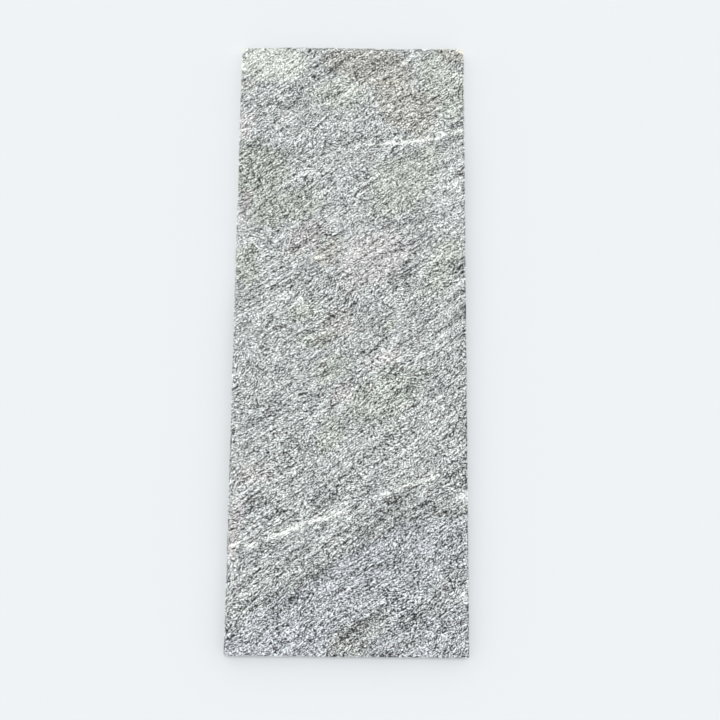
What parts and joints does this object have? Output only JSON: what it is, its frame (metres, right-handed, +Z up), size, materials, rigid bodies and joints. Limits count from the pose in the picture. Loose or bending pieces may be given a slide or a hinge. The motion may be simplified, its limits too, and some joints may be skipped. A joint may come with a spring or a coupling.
{
  "type": "stone floor slab",
  "caption": "Long rectangular slab of grey layered gneiss with a rough walking face, straight sawn edges and a flat sawn underside, for paving or flooring.",
  "frame": {"origin": "middle of the sawn underside", "axes": "+Z up, out of the rough walking face; +Y along the length; +X across the width"},
  "size_m": [0.3, 0.8, 0.0209],
  "materials": {
    "stone": "rough flamed face, sawn edges and back"
  },
  "bodies": {
    "root": {"stone_slab": "stone"}
  },
  "joints": []
}
